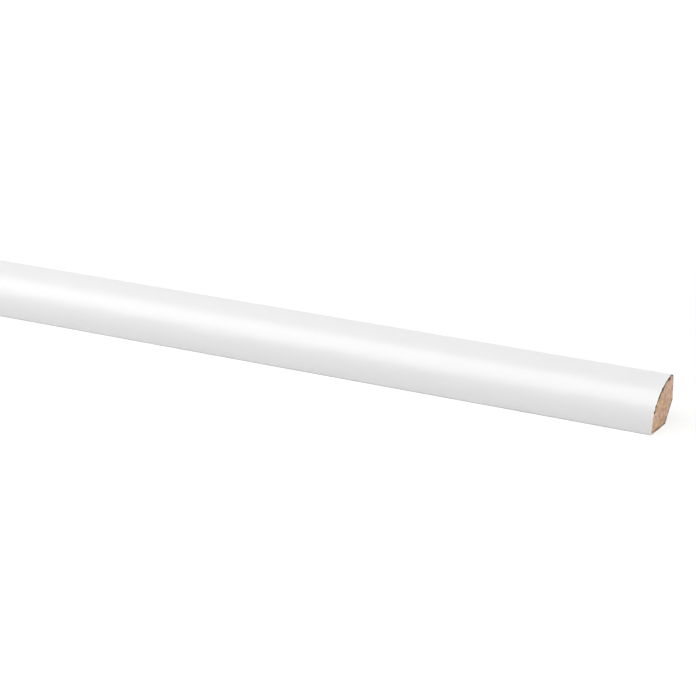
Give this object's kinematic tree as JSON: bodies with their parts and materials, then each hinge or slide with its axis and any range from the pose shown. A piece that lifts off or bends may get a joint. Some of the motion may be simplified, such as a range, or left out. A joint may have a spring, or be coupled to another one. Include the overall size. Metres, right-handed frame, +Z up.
{
  "type": "quarter round moulding",
  "caption": "White foil-wrapped fibreboard quarter round: a straight length of trim that covers the joint of floor and wall, with a flat lip and a clipped heel.",
  "frame": {"origin": "on the floor plane, under the middle of the stick's length and of its width", "axes": "+X along the stick, +Y square out of the wall face, +Z up, out of the lip; the round faces -Y and +Z"},
  "size_m": [2.388, 0.019, 0.0159],
  "materials": {
    "white_foil": "satin",
    "bare_fibreboard": "matte"
  },
  "bodies": {
    "root": {"quarter_round": "white_foil"}
  },
  "joints": []
}
